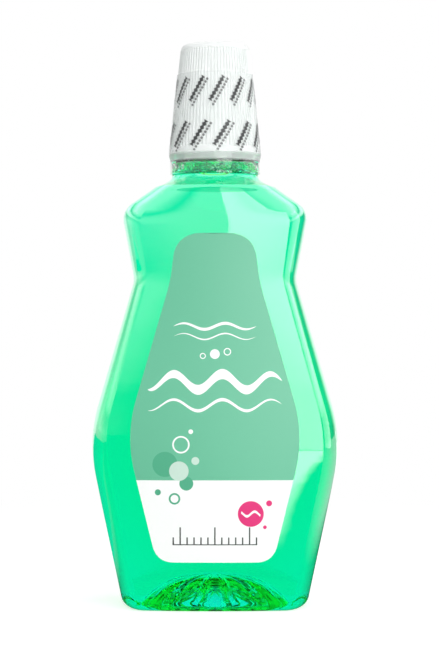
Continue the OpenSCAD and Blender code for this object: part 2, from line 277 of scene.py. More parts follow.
def stack(rings, first, last):
    """Points and faces of a closed skin through rings, closed by fans at first and last."""
    n = len(rings[0])
    points = [first] + [p for ring in rings for p in ring] + [last]
    faces = [(0, 1 + (j + 1) % n, 1 + j) for j in range(n)]
    for i in range(len(rings) - 1):
        for j in range(n):
            a, b = 1 + i * n + j, 1 + i * n + (j + 1) % n
            faces.append((a, b, b + n, a + n))
    a, c = 1 + (len(rings) - 1) * n, 1 + len(rings) * n
    faces += [(a + j, a + (j + 1) % n, c) for j in range(n)]
    return points, faces


def revolve(profile, segments=144):
    """A closed solid of revolution from a closed profile [(r, z)], anticlockwise with r to the right."""
    points, index, faces = [], [], []
    for r, z in profile:
        if r < 1e-6:
            index.append([len(points)] * segments)
            points.append((0, 0, z))
        else:
            index.append(list(range(len(points), len(points) + segments)))
            turns = [2 * math.pi * k / segments for k in range(segments)]
            points += [(r * math.cos(t), r * math.sin(t), z) for t in turns]
    for row, after in zip(index, index[1:] + index[:1]):
        for k in range(segments):
            h = (k + 1) % segments
            face = [row[k], row[h], after[h], after[k]]
            face = [v for i, v in enumerate(face) if v != face[i - 1]]
            if len(set(face)) > 2:
                faces.append(tuple(face))
    return points, faces


def arc(centre, r, start, end, n=6):
    """Points of an arc, in degrees from the +r axis."""
    return [
        (centre[0] + r * math.cos(math.radians(start + (end - start) * k / n)),
         centre[1] + r * math.sin(math.radians(start + (end - start) * k / n)))
        for k in range(n + 1)
    ]


# Node trees, and the materials made of them


class Value:
    """A socket that can be used in a sum."""

    def __init__(self, graph, socket):
        self.graph = graph
        self.socket = socket

    def sum(self, operation, *others, **settings):
        return self.graph.math(operation, self, *others, **settings)

    def __add__(self, other):
        return self.graph.math("ADD", self, other)

    def __radd__(self, other):
        return self.graph.math("ADD", other, self)

    def __sub__(self, other):
        return self.graph.math("SUBTRACT", self, other)

    def __rsub__(self, other):
        return self.graph.math("SUBTRACT", other, self)

    def __mul__(self, other):
        return self.graph.math("MULTIPLY", self, other)

    def __rmul__(self, other):
        return self.graph.math("MULTIPLY", other, self)

    def __truediv__(self, other):
        return self.graph.math("DIVIDE", self, other)

    def __rtruediv__(self, other):
        return self.graph.math("DIVIDE", other, self)

    def __pow__(self, other):
        return self.graph.math("POWER", self, other)

    def __neg__(self):
        return self.graph.math("MULTIPLY", self, -1.0)

    def __abs__(self):
        return self.graph.math("ABSOLUTE", self)

    def clamp(self):
        return self.graph.math("ADD", self, 0.0, use_clamp=True)


class Graph:
    """A node tree, with one method that makes any node."""

    def __init__(self, tree):
        self.tree = tree

    def node(self, kind, settings=None, **sockets):
        """A node with its settings, then its sockets by name, or by number as in _0."""
        made = self.tree.nodes.new(kind)
        for key, value in (settings or {}).items():
            setattr(made, key, value)
        for key, value in sockets.items():
            socket = made.inputs[int(key[1:])] if key[0] == "_" else made.inputs[key.replace("_", " ")]
            self.feed(socket, value)
        return made

    def feed(self, socket, value):
        """Links what comes from a node to a socket, and sets any other value on it."""
        if isinstance(value, Value):
            self.tree.links.new(value.socket, socket)
        elif isinstance(value, bpy.types.NodeSocket):
            self.tree.links.new(value, socket)
        else:
            socket.default_value = value

    def out(self, node, name=0):
        return Value(self, node.outputs[name])

    def math(self, operation, *values, use_clamp=False):
        made = self.node("ShaderNodeMath", {"operation": operation, "use_clamp": use_clamp})
        for socket, value in zip(made.inputs, values):
            self.feed(socket, value)
        return Value(self, made.outputs[0])

    def mix(self, factor, a, b):
        """Colour a where factor is 0, colour b where it is 1."""
        made = self.node("ShaderNodeMix", {"data_type": "RGBA"}, _0=factor, _6=a, _7=b)
        return made.outputs[2]

    def noise(self, vector, scale, detail=2.0):
        made = self.node("ShaderNodeTexNoise", Vector=vector, Scale=scale, Detail=detail)
        return self.out(made, "Fac" if "Fac" in made.outputs else 0)


WHITE = (1, 1, 1, 1)
BLACK = (0, 0, 0, 1)


def rgb(r, g, b):
    """A colour given as it shows on a screen, 0 to 255, as the linear colour of a shader."""
    linear = [c / 255 / 12.92 if c <= 10 else ((c / 255 + 0.055) / 1.055) ** 2.4 for c in (r, g, b)]
    return (*linear, 1.0)


def material(name):
    """A new material, its graph and its output node."""
    made = bpy.data.materials.new(name)
    made.use_nodes = True
    made.node_tree.nodes.clear()
    graph = Graph(made.node_tree)
    return made, graph, graph.node("ShaderNodeOutputMaterial")


def place_of(graph):
    """Object coordinates, and their x, y and z in millimetres."""
    where = graph.node("ShaderNodeTexCoord").outputs["Object"]
    split = graph.node("ShaderNodeSeparateXYZ", Vector=where)
    return where, [graph.out(split, i) * 1000.0 for i in range(3)]


def inside(distance, soft=0.06):
    """1 where distance is below nought, 0 above, with a soft edge."""
    return ((soft - distance) * (0.5 / soft)).clamp()


def either(*masks):
    """The strongest of the masks at each point."""
    result = masks[0]
    for m in masks[1:]:
        result = result.sum("MAXIMUM", m)
    return result


def ramp(distance, length):
    """0 where distance is below nought, rising to 1 over length."""
    return (distance * (1 / length)).clamp()


def disc(x, z, cx, cz, r):
    """How far a point of the face lies outside a disc."""
    dx, dz = x - cx, z - cz
    return (dx * dx + dz * dz).sum("SQRT") - r


CREST_LINE_Z, CREST_LINE_HALF = CREST_Z - 2.3, 17.5
# Colour of the painted shade along the crest line
CREST_PAINTED_SHADE = (0.05, 0.7, 0.62, 1)
PLASTIC_IOR, GLOSS_IOR = 1.4, 1.55


def clear_plastic():
    """Clear blown plastic, gently wavy: bubbly by the foam, with painted shade along the crest line, a dark
    tint in its colour standing in for the dark strip under the crest.
    """
    made, graph, out = material("clear bottle plastic")
    where, (x, y, z) = place_of(graph)
    waves = graph.noise(where, 45.0, 1.0) * 0.7 + graph.noise(where, 260.0, 1.0) * 0.12
    cells = graph.out(graph.node("ShaderNodeTexVoronoi", Vector=where, Scale=300.0), "Distance")
    foamy = ((z - BODY_H - 0.8) * 1.5).clamp() * ((RING_TOP - 1.6 - z) * 1.5).clamp()
    domes = (0.5 - cells * cells).clamp() * foamy * 13.0
    bump = graph.node("ShaderNodeBump", Strength=0.22, Distance=0.0012, Height=waves + domes)
    # Painted shade: a dark green-blue tint in the plastic along a line under the crest, on the front half,
    # standing in for the dark strip where the surface reflects little
    taper = (1.0 - abs(x - 1.0) * (1 / CREST_LINE_HALF)).clamp() ** 0.3
    crease = inside(abs(z - CREST_LINE_Z) - taper * 1.15, 0.2) * inside(y + 5.0, 1.0)
    face = graph.out(graph.node("ShaderNodeLayerWeight", Blend=0.5), "Facing")
    shader = graph.node(
        "ShaderNodeBsdfPrincipled",
        Base_Color=graph.mix(crease, WHITE, CREST_PAINTED_SHADE), Roughness=0.0, IOR=PLASTIC_IOR,
        Transmission_Weight=1.0, Coat_Weight=1.0 - either(foamy, crease, face ** 3.0),
        Coat_IOR=GLOSS_IOR, Coat_Roughness=0.0, Normal=bump.outputs[0],
    )
    graph.feed(out.inputs["Surface"], shader.outputs[0])
    return made


def wetted_plastic():
    """The inner wall where the liquid wets it: the two match, so the wall can't be seen."""
    made, graph, out = material("wetted inner wall")
    shader = graph.node("ShaderNodeBsdfTransparent", Color=WHITE)
    graph.feed(out.inputs["Surface"], shader.outputs[0])
    return made


MINT_RED, MINT_GREEN = 0.022, 0.9945


def mint_liquid(name, density, index, blue):
    """Clear green liquid: depth takes its red first, then its blue, and hardly its green."""
    made, graph, out = material(name)
    shader = graph.node(
        "ShaderNodeBsdfPrincipled",
        Base_Color=WHITE, Roughness=0.0, IOR=index, Transmission_Weight=1.0,
    )
    hue = (MINT_RED, MINT_GREEN, blue, 1)
    taken = graph.node("ShaderNodeVolumeAbsorption", Color=hue, Density=density)
    graph.feed(out.inputs["Surface"], shader.outputs[0])
    graph.feed(out.inputs["Volume"], taken.outputs[0])
    return made


LABEL_GREEN = rgb(102, 188, 152)
LABEL_DEEP = rgb(76, 171, 133)
LABEL_PALE = rgb(207, 230, 217)
LABEL_WHITE = rgb(252, 253, 252)
LABEL_PINK = rgb(226, 20, 116)
LABEL_DARK = rgb(40, 42, 42)
SPLIT_Z = 57.6

# The label's generic art: waves (height, half length, wave length, swing, width, phase),
# spots (x, height, radius) and hoops (x, height, radius, half width)
WAVES = (
    (124.0, 18.0, 18.0, 1.3, 1.5, 0.0),
    (119.6, 18.0, 18.0, 1.3, 0.8, 0.0),
    (100.0, 29.0, 21.0, 3.4, 4.6, 0.6),
    (90.0, 29.0, 21.0, 2.4, 1.6, 0.6),
)
WHITE_SPOTS = ((0.0, 112.0, 2.1), (-10.4, 78.6, 1.0))
WHITE_HOOPS = ((5.4, 113.0, 1.4, 0.22), (-5.2, 111.2, 1.1, 0.2), (-14.6, 73.0, 3.4, 0.35))
DEEP_SPOTS = ((-21.5, 64.5, 5.4), (-12.3, 56.2, 3.0), (-24.6, 52.4, 1.3))
DEEP_HOOPS = ((-17.4, 49.6, 2.1, 0.4),)
PALE_SPOTS = ((-15.5, 61.6, 4.2), (-8.4, 66.0, 1.7))
PINK_X, PINK_Z = 15.5, 43.0
PINK_SPOTS = ((PINK_X, PINK_Z, 5.6), (23.4, 47.6, 1.3), (21.6, 37.2, 0.8))
SCALE_Z, SCALE_HALF, SCALE_STEP, SCALE_LONG_STEP = 29.6, 18.3, 3.0, 15.0


def printed_label():
    """The label's print: green over white, with waves, spots, hoops and a plain scale."""
    made, graph, out = material("printed label film")
    where, (x, y, z) = place_of(graph)

    def wave(height, half, length, swing, width, phase):
        """A wavy stroke that tapers to both ends."""
        across = x * (1 / half)
        crest = (x * (2 * math.pi / length) + phase).sum("SINE") * swing + height
        taper = (1.0 - across * across).sum("MAXIMUM", 0.0).sum("SQRT")
        return inside(abs(z - crest) - taper * (width / 2) + 0.08)

    def spots(rows):
        return [inside(disc(x, z, *row)) for row in rows]

    def hoops(rows):
        return [inside(abs(disc(x, z, cx, cz, r)) - half) for cx, cz, r, half in rows]

    green = inside(SPLIT_Z - z)
    white_art = either(*[wave(*row) for row in WAVES], *spots(WHITE_SPOTS), *hoops(WHITE_HOOPS))
    deep_art = either(*spots(DEEP_SPOTS), *hoops(DEEP_HOOPS))
    pale_art = either(*spots(PALE_SPOTS))
    pink_art = either(*spots(PINK_SPOTS))
    pink_wave = abs(z - PINK_Z - ((x - PINK_X) * 0.95).sum("SINE")) - 0.55
    pink_hole = inside(pink_wave) * inside(disc(x, z, PINK_X, PINK_Z, 4.2))
    fine = abs(((x + 19.5) / SCALE_STEP).sum("FRACT") - 0.5) * SCALE_STEP
    coarse = abs(((x + 22.5) / SCALE_LONG_STEP).sum("FRACT") - 0.5) * SCALE_LONG_STEP
    tall = inside(coarse - 0.8) * 2.2 + 1.6
    ticks = inside(fine - 0.3) * inside(abs(x) - (SCALE_HALF + 0.3)) * inside(abs(z - SCALE_Z - tall) - tall)
    foot = inside(abs(z - SCALE_Z) - 0.22) * inside(abs(x) - SCALE_HALF)

    grain = graph.noise(where, 900.0, 3.0)
    soft = graph.noise(where, 16.0, 2.0)
    colour = graph.mix(green, LABEL_WHITE, LABEL_GREEN)
    colour = graph.mix(deep_art, colour, LABEL_DEEP)
    colour = graph.mix(pale_art * 0.92, colour, LABEL_PALE)
    colour = graph.mix(white_art * green, colour, LABEL_WHITE)
    colour = graph.mix(pink_art * (1.0 - pink_hole), colour, LABEL_PINK)
    colour = graph.mix(either(ticks, foot), colour, LABEL_DARK)
    colour = graph.mix((grain - 0.5) * 0.05 + (soft - 0.5) * 0.06 + 0.03, colour, rgb(96, 150, 128))
    bump = graph.node("ShaderNodeBump", Strength=0.12, Distance=0.0002, Height=soft * 2.0 + grain * 0.2)
    shader = graph.node(
        "ShaderNodeBsdfPrincipled",
        Base_Color=colour, Roughness=0.42 + (grain - 0.5) * 0.1, Normal=bump.outputs[0],
    )
    graph.feed(out.inputs["Surface"], shader.outputs[0])
    return made


def plain_finish(name, colour, other, roughness, scale, bump_by, depth=0.0002):
    """An opaque moulded or foamed finish with a fine uneven tone and surface."""
    made, graph, out = material(name)
    where, _ = place_of(graph)
    grain = graph.noise(where, scale, 3.0)
    soft = graph.noise(where, scale / 14, 2.0)
    tone = graph.mix((soft - 0.35) * 1.2, colour, other)
    bump = graph.node("ShaderNodeBump", Strength=bump_by, Distance=depth, Height=grain)
    shader = graph.node(
        "ShaderNodeBsdfPrincipled",
        Base_Color=tone, Roughness=roughness + (grain - 0.5) * 0.12, Normal=bump.outputs[0],
    )
    graph.feed(out.inputs["Surface"], shader.outputs[0])
    return made


# The film's marks: rows (height, start), marks in a row, their slant and their spacing
MARK_ROWS = ((208.6, -0.38), (228.4, -0.18))
MARK_COUNT, MARK_SLANT, MARK_SPACING = 12, math.radians(58), 10.2


def printed_film():
    """Clear shrink film with a repeated print of slanted rows of lozenges and dots."""
    made, graph, out = material("printed shrink film")
    where, (x, y, z) = place_of(graph)
    turn = graph.math("ARCTAN2", x, -y) * (MARK_COUNT / (2 * math.pi))
    masks = []
    for row, start in MARK_ROWS:
        across = ((turn + start + 0.5).sum("FRACT") - 0.5) * MARK_SPACING
        up = z - row
        along = across * math.cos(MARK_SLANT) + up * math.sin(MARK_SLANT)
        beside = up * math.cos(MARK_SLANT) - across * math.sin(MARK_SLANT)
        bead = abs((along / 1.8).sum("FRACT") - 0.5) * 1.8
        dash = abs((along / 1.5 + 0.3).sum("FRACT") - 0.5) * 1.5
        bold = inside(abs(beside - 1.0) + bead * 0.9 - 1.15, 0.12) * inside(abs(along) - 6.3, 0.1)
        thin = inside(abs(beside + 1.35) - 0.62 + dash * 0.5, 0.12) * inside(abs(along + 0.2) - 7.4, 0.1)
        masks += [bold, thin * inside(dash - 0.52, 0.1) * 0.8]
    ink = either(*masks)
    streaks = graph.node("ShaderNodeMapping", Vector=where, Scale=(1, 1, 0.15))
    crumple = graph.noise(streaks.outputs[0], 260.0, 2.0)
    bump = graph.node("ShaderNodeBump", Strength=0.35, Distance=0.0006, Height=crumple)
    face = graph.out(graph.node("ShaderNodeLayerWeight", Blend=0.5, Normal=bump.outputs[0]), "Facing")
    tight = ((z - RING_TOP + 1.0) * 0.5).clamp() * 0.7 + 0.3
    # Painted light: a whiter band of film over the shaded gap between the neck ring and the cap, to lighten
    # that gap
    painted_gap_light = inside(abs(z - (RING_TOP + CAP_Z) / 2) - 1.6, 0.5) * 0.5
    haze_and_painted_light = either((face ** 3.0 * 0.55 + 0.05) * tight, painted_gap_light)
    colour = graph.mix(ink, rgb(238, 243, 242), rgb(58, 60, 60))
    shader = graph.node(
        "ShaderNodeBsdfPrincipled",
        Base_Color=colour, Roughness=0.12 + ink * 0.3, Normal=bump.outputs[0],
    )
    clear = graph.node("ShaderNodeBsdfTransparent", Color=WHITE)
    both = graph.node(
        "ShaderNodeMixShader",
        _0=either(haze_and_painted_light, ink * 0.9).clamp(), _1=clear.outputs[0], _2=shader.outputs[0],
    )
    graph.feed(out.inputs["Surface"], both.outputs[0])
    return made


CLEAR = clear_plastic()
WETTED = wetted_plastic()
# The liquid bends no light by itself: the plastic's outer face does that for both
MINT = mint_liquid("green mouthwash", 225.0, 1.0, 0.935)
MINT_DROPS = mint_liquid("green mouthwash in foam", 700.0, 1.33, 0.93)
LABEL_PRINT = printed_label()
LABEL_BACK = plain_finish("label's underside", rgb(236, 240, 238), rgb(222, 230, 226), 0.6, 700.0, 0.1)
CAP_WHITE = plain_finish("white cap plastic", rgb(243, 246, 245), rgb(232, 239, 236), 0.38, 1400.0, 0.08)
FOAM_WHITE = plain_finish("foam washer", rgb(232, 232, 224), rgb(214, 214, 204), 0.85, 2600.0, 0.6)
FILM = printed_film()


# Geometry trees for what repeats or follows a spiral


def new_tree(name, inputs):
    """A geometry tree with named inputs (name, kind, default), its graph and its input node."""
    tree = bpy.data.node_groups.new(name, "GeometryNodeTree")
    for label, kind, default in inputs:
        socket = tree.interface.new_socket(label, in_out="INPUT", socket_type=kind)
        if default is not None:
            socket.default_value = default
    tree.interface.new_socket("Geometry", in_out="OUTPUT", socket_type="NodeSocketGeometry")
    graph = Graph(tree)
    return tree, graph, graph.node("NodeGroupInput")


def finish_tree(graph, geometry, mat):
    """Ends a tree in Realize Instances, Shade Smooth and Set Material."""
    real = graph.node("GeometryNodeRealizeInstances", Geometry=geometry)
    smooth = graph.node("GeometryNodeSetShadeSmooth", Geometry=real.outputs[0])
    dressed = graph.node("GeometryNodeSetMaterial", Geometry=smooth.outputs[0], Material=mat)
    end = graph.node("NodeGroupOutput")
    graph.feed(end.inputs[0], dressed.outputs[0])


def grown(name, tree, values, mat, crease=40):
    """A plain mesh from a geometry tree: its inputs set by identifier, evaluated, and the modifier gone."""
    blank = bpy.data.meshes.new(name + "_seed")
    seed = bpy.data.objects.new(name + "_seed", blank)
    bpy.context.collection.objects.link(seed)
    modifier = seed.modifiers.new("grow", "NODES")
    modifier.node_group = tree
    names = {s.name: s.identifier for s in tree.interface.items_tree if s.in_out == "INPUT"}
    for label, value in values.items():
        modifier[names[label]] = value
    seen = seed.evaluated_get(bpy.context.evaluated_depsgraph_get())
    mesh = bpy.data.meshes.new_from_object(seen)
    seed.modifiers.clear()
    bpy.data.objects.remove(seed)
    bpy.data.meshes.remove(blank)
    mesh.name = name
    mesh.materials.clear()
    mesh.materials.append(mat)
    mesh.shade_smooth()
    mesh.set_sharp_from_angle(angle=math.radians(crease))
    obj = bpy.data.objects.new(name, mesh)
    bpy.context.collection.objects.link(obj)
    return obj


def faded(g, sharp, thin):
    """1 along a curve, falling to thin at its two ends."""
    along = g.out(g.node("GeometryNodeSplineParameter"), "Factor")
    return (1.0 - abs(along * 2.0 - 1.0) ** sharp).sum("SQRT") * (1.0 - thin) + thin


def rod(g, path, swell, sides, radius):
    """A closed rod along a path, with its radius scaled by swell."""
    shaped = g.node("GeometryNodeSetCurveRadius", Curve=path.outputs[0], Radius=swell)
    outline = g.node("GeometryNodeCurvePrimitiveCircle", Resolution=sides, Radius=radius)
    return g.node(
        "GeometryNodeCurveToMesh",
        Curve=shaped.outputs[0], Profile_Curve=outline.outputs[0], Fill_Caps=True,
    )


def rib_tree(mat):
    """Ribs round an upright axis: one rod with faded ends, turned round the axis Count times."""
    tree, g, given = new_tree("ribs round the cap", [
        ("Count", "NodeSocketInt", 72),
        ("Low Radius", "NodeSocketFloat", 0.02),
        ("Low Height", "NodeSocketFloat", 0.2),
        ("High Radius", "NodeSocketFloat", 0.015),
        ("High Height", "NodeSocketFloat", 0.25),
        ("Half Width", "NodeSocketFloat", 0.0004),
    ])
    low, high = [
        g.node(
            "ShaderNodeCombineXYZ",
            X=given.outputs[end + " Radius"], Z=given.outputs[end + " Height"],
        )
        for end in ("Low", "High")
    ]
    line = g.node("GeometryNodeCurvePrimitiveLine", Start=low.outputs[0], End=high.outputs[0])
    fine = g.node("GeometryNodeResampleCurve", Curve=line.outputs[0], Count=14)
    rib = rod(g, fine, faded(g, 12.0, 0.25), 8, given.outputs["Half Width"])
    axis = g.node("GeometryNodeMeshLine", Count=given.outputs["Count"], Offset=(0, 0, 0))
    number = g.out(g.node("GeometryNodeInputIndex"))
    turn = number * (2 * math.pi) / g.out(given, "Count")
    turned = g.node("ShaderNodeCombineXYZ", Z=turn)
    many = g.node(
        "GeometryNodeInstanceOnPoints",
        Points=axis.outputs[0], Instance=rib.outputs[0], Rotation=turned.outputs[0],
    )
    finish_tree(g, many.outputs[0], mat)
    return tree


def thread_tree(mat):
    """A screw thread: a rounded profile along a spiral, fading at both ends."""
    tree, g, given = new_tree("screw thread", [
        ("Radius", "NodeSocketFloat", 0.0143),
        ("Start Height", "NodeSocketFloat", 0.205),
        ("Pitch", "NodeSocketFloat", 0.00423),
        ("Turns", "NodeSocketFloat", 1.5),
        ("Depth", "NodeSocketFloat", 0.0011),
    ])
    rise = g.out(given, "Pitch") * g.out(given, "Turns")
    spiral = g.node(
        "GeometryNodeCurveSpiral",
        Resolution=72, Rotations=given.outputs["Turns"], Start_Radius=given.outputs["Radius"],
        End_Radius=given.outputs["Radius"], Height=rise,
    )
    up = g.node("ShaderNodeCombineXYZ", Z=given.outputs["Start Height"])
    lifted = g.node("GeometryNodeTransform", Geometry=spiral.outputs[0], Translation=up.outputs[0])
    thread = rod(g, lifted, faded(g, 14.0, 0.15), 10, given.outputs["Depth"])
    finish_tree(g, thread.outputs[0], mat)
    return tree


def bubble_tree(mat):
    """Bubbles in a ring on the liquid, packed against the wall of the neck."""
    tree, g, given = new_tree("bubbles on the liquid", [
        ("Count", "NodeSocketInt", 130),
        ("Wall Radius", "NodeSocketFloat", 0.018),
        ("Ring Width", "NodeSocketFloat", 0.005),
        ("Level", "NodeSocketFloat", 0.194),
        ("Headroom", "NodeSocketFloat", 0.003),
        ("Smallest", "NodeSocketFloat", 0.0004),
        ("Largest", "NodeSocketFloat", 0.0016),
        ("Seed", "NodeSocketInt", 4),
    ])
    line = g.node("GeometryNodeMeshLine", Count=given.outputs["Count"], Offset=(0, 0, 0))

    def chance(offset):
        """A number from 0 to 1 for each bubble."""
        made = g.node(
            "FunctionNodeRandomValue", {"data_type": "FLOAT"},
            Seed=g.out(given, "Seed") + float(offset),
        )
        return g.out(made, 1)

    number = g.out(g.node("GeometryNodeInputIndex"))
    size = (
        chance(1) ** 2.2 * (g.out(given, "Largest") - g.out(given, "Smallest"))
        + g.out(given, "Smallest")
    )
    turn = (number + chance(2) * 0.9) * (2 * math.pi) / g.out(given, "Count")
    far = g.out(given, "Wall Radius") - size * 1.03 - chance(3) ** 2.0 * g.out(given, "Ring Width")
    height = g.out(given, "Level") + size * 0.4 + chance(4) * (g.out(given, "Headroom") - size * 1.4)
    place = g.node(
        "ShaderNodeCombineXYZ",
        X=far * turn.sum("COSINE"), Y=far * turn.sum("SINE"), Z=height,
    )
    spread = g.node("GeometryNodeSetPosition", Geometry=line.outputs[0], Position=place.outputs[0])
    ball = g.node("GeometryNodeMeshIcoSphere", Radius=1.0, Subdivisions=2)
    even = g.node("ShaderNodeCombineXYZ", X=size, Y=size, Z=size * 0.94)
    many = g.node(
        "GeometryNodeInstanceOnPoints",
        Points=spread.outputs[0], Instance=ball.outputs[0], Scale=even.outputs[0],
    )
    finish_tree(g, many.outputs[0], mat)
    return tree


# The pieces

LIQUID_LEVEL = 193.4
LIQUID_GAP = 0.05
RING_ROUND, MOUTH_ROUND, LUG_INSET = 0.9, 0.6, 0.15
NECK_THREAD_Z, CAP_THREAD_Z = MOUTH_Z - 10.2, MOUTH_Z - 12.2


def bottle_piece():
    """The blown bottle in one closed skin: up the outside, over the mouth, and down the inside."""
    outside = shell_rings(0, 0, SEAT_R)
    neck_out = [(SEAT_R, BODY_H - 0.05), (RING_R - 0.12, BODY_H + 0.08), (RING_R, BODY_H + 0.4)]
    neck_out += [(RING_R, BODY_H + 2), (RING_R, BODY_H + 4)]
    neck_out += arc((RING_R - RING_ROUND, RING_TOP - RING_ROUND), RING_ROUND, 0, 90)
    neck_out += [((RING_R + FINISH_R) / 2, RING_TOP)]
    neck_out += arc((FINISH_R + 0.5, RING_TOP + 0.5), -0.5, 90, 0, 4)
    neck_out += [(FINISH_R, RING_TOP + (FINISH_H - MOUTH_ROUND) * k / 8) for k in range(1, 8)]
    neck_out += arc((FINISH_R - MOUTH_ROUND, MOUTH_Z - MOUTH_ROUND), MOUTH_ROUND, 0, 90)
    neck_in = arc((BORE_R + 0.35, MOUTH_Z - 0.35), 0.35, 90, 180, 4)
    neck_in += [(BORE_R, MOUTH_Z - (MOUTH_Z - CAVITY_Z - 1.2) * k / 8) for k in range(1, 8)]
    neck_in += arc((BORE_R + 1.2, CAVITY_Z + 1.2), -1.2, 0, 90)
    neck_in += [((BORE_R + RING_BORE_R) / 2, CAVITY_Z)]
    neck_in += arc((RING_BORE_R - 0.5, CAVITY_Z - 0.5), 0.5, 90, 0, 4)
    neck_in += [(RING_BORE_R, LIQUID_LEVEL + 1.6), (RING_BORE_R, LIQUID_LEVEL)]
    wet_from = len(outside) + len(neck_out) + len(neck_in) - 1
    neck_in += [(RING_BORE_R, BODY_H + 1.4), (RING_BORE_R + 0.1, BODY_H + 0.7), (RING_BORE_R + 0.22, BODY_H)]
    inner = shell_rings(WALL, BASE_WALL, RING_BORE_R + 0.3)
    rings = outside + [circle(r, z) for r, z in neck_out + neck_in] + inner[::-1]
    points, faces = stack(rings, (0, 0, PUSH_H), (0, 0, PUSH_H + BASE_WALL))
    first_wet = len(rings[0]) * (wet_from + 1)
    slots = [int(i >= first_wet) for i in range(len(faces))]
    return mesh_piece("blown_bottle", points, faces, [CLEAR, WETTED], 14, slots)


def liquid_piece():
    """The mouthwash, just inside the shell, with its edge drawn up a little at the wall."""
    rings = shell_rings(WALL + LIQUID_GAP, BASE_WALL + LIQUID_GAP, RING_BORE_R - LIQUID_GAP)
    rim = [(RING_BORE_R - LIQUID_GAP, BODY_H + 0.8), (RING_BORE_R - LIQUID_GAP, LIQUID_LEVEL - 0.5)]
    rim += [(RING_BORE_R - LIQUID_GAP - 0.02, LIQUID_LEVEL), (RING_BORE_R - 0.5, LIQUID_LEVEL - 0.45)]
    rim += [(RING_BORE_R - 1.2, LIQUID_LEVEL - 0.62), (RING_BORE_R * 0.6, LIQUID_LEVEL - 0.65)]
    rings += [circle(r, z) for r, z in rim]
    points, faces = stack(rings, (0, 0, PUSH_H + BASE_WALL + LIQUID_GAP), (0, 0, LIQUID_LEVEL - 0.65))
    return mesh_piece("mint_mouthwash", points, faces, [MINT], 14)


def lugs_piece():
    """Two ramped lugs on the ring, which stop a cap that isn't squeezed."""
    inner = RING_R - RING_ROUND - LUG_INSET - LUG_T
    points, faces = [], []
    steps = 8
    for side in (0, 180):
        for k in range(steps + 1):
            share = k / steps
            turn = math.radians(side - LUG_TURN / 2 + LUG_TURN * share)
            top = RING_TOP + LUG_H * (0.35 + 0.65 * share)
            section = [
                (inner, RING_TOP - 0.2), (inner + LUG_T, RING_TOP - 0.2),
                (inner + LUG_T, top - 0.6), (inner + LUG_T - 0.35, top), (inner, top),
            ]
            points += [(r * math.cos(turn), r * math.sin(turn), z) for r, z in section]
        start = len(points) - 5 * (steps + 1)
        for k in range(steps):
            for j in range(5):
                a, b = start + 5 * k + j, start + 5 * k + (j + 1) % 5
                faces.append((a, a + 5, b + 5, b))
        faces.append(tuple(start + j for j in range(5)))
        faces.append(tuple(start + 5 * steps + 4 - j for j in range(5)))
    return mesh_piece("neck_lugs", points, faces, [CLEAR], 30)


def label_line():
    """The label's outline [(height, half width)], in steps fine enough to follow the panel."""
    top = LABEL_Z + LABEL_H
    corners = rounded([
        (LABEL_Z, 0, 0),
        (LABEL_Z, LABEL_BASE_W / 2, LABEL_BASE_BLEND),
        (HIP_Z + 3.3, LABEL_HIP_W / 2, HIP_BLEND),
        (WAIST_Z - 1.1, LABEL_WAIST_W / 2, WAIST_BLEND * 2),
        (top - LABEL_ARCH, LABEL_TOP_W / 2, LABEL_TOP_BLEND),
        (top, LABEL_TOP_W / 5, LABEL_TOP_BLEND / 3),
        (top, 0, 0),
    ], 16)[1:-1]
    line = []
    for (z0, w0), (z1, w1) in zip(corners, corners[1:]):
        parts = max(1, round((z1 - z0) / 2.5))
        line += [(z0 + (z1 - z0) * k / parts, w0 + (w1 - w0) * k / parts) for k in range(parts)]
    return line + [corners[-1]]


def front(x, z):
    """How far the front panel stands forward of the middle."""
    return at(DEPTH_LINE, z) + PANEL_CROWN * (1 - (x / at(PANEL_LINE, z)) ** 2)


def label_piece():
    """The label film, closed, with its print on the face and its plain underside on the bottle."""
    cols = 36
    points, faces, slots = [], [], []
    rows = label_line()
    for z, w in rows:
        for side in (0, 1):
            for j in range(cols + 1):
                x = w * (2 * j / cols - 1)
                points.append((x, -front(x, z) - LABEL_GAP - (0 if side else LABEL_T), z))
    m = cols + 1
    for i in range(len(rows) - 1):
        for j in range(cols):
            a = i * 2 * m + j
            faces.append((a, a + 1, a + 1 + 2 * m, a + 2 * m))
            slots.append(0)
            b = a + m
            faces.append((b + 1, b, b + 2 * m, b + 1 + 2 * m))
            slots.append(1)
        for j in (0, cols):
            a = i * 2 * m + j
            face = (a, a + 2 * m, a + 3 * m, a + m)
            faces.append(face if j == 0 else face[::-1])
            slots.append(0)
    for i in (0, len(rows) - 1):
        for j in range(cols):
            a = i * 2 * m + j
            face = (a, a + m, a + m + 1, a + 1)
            faces.append(face if i == 0 else face[::-1])
            slots.append(0)
    return mesh_piece("front_label_film", points, faces, [LABEL_PRINT, LABEL_BACK], 50, slots)


def cap_r(z):
    """Radius of the cap over its ribs."""
    return (CAP_BASE_D + (CAP_TOP_D - CAP_BASE_D) * (z - CAP_Z) / CAP_H) / 2


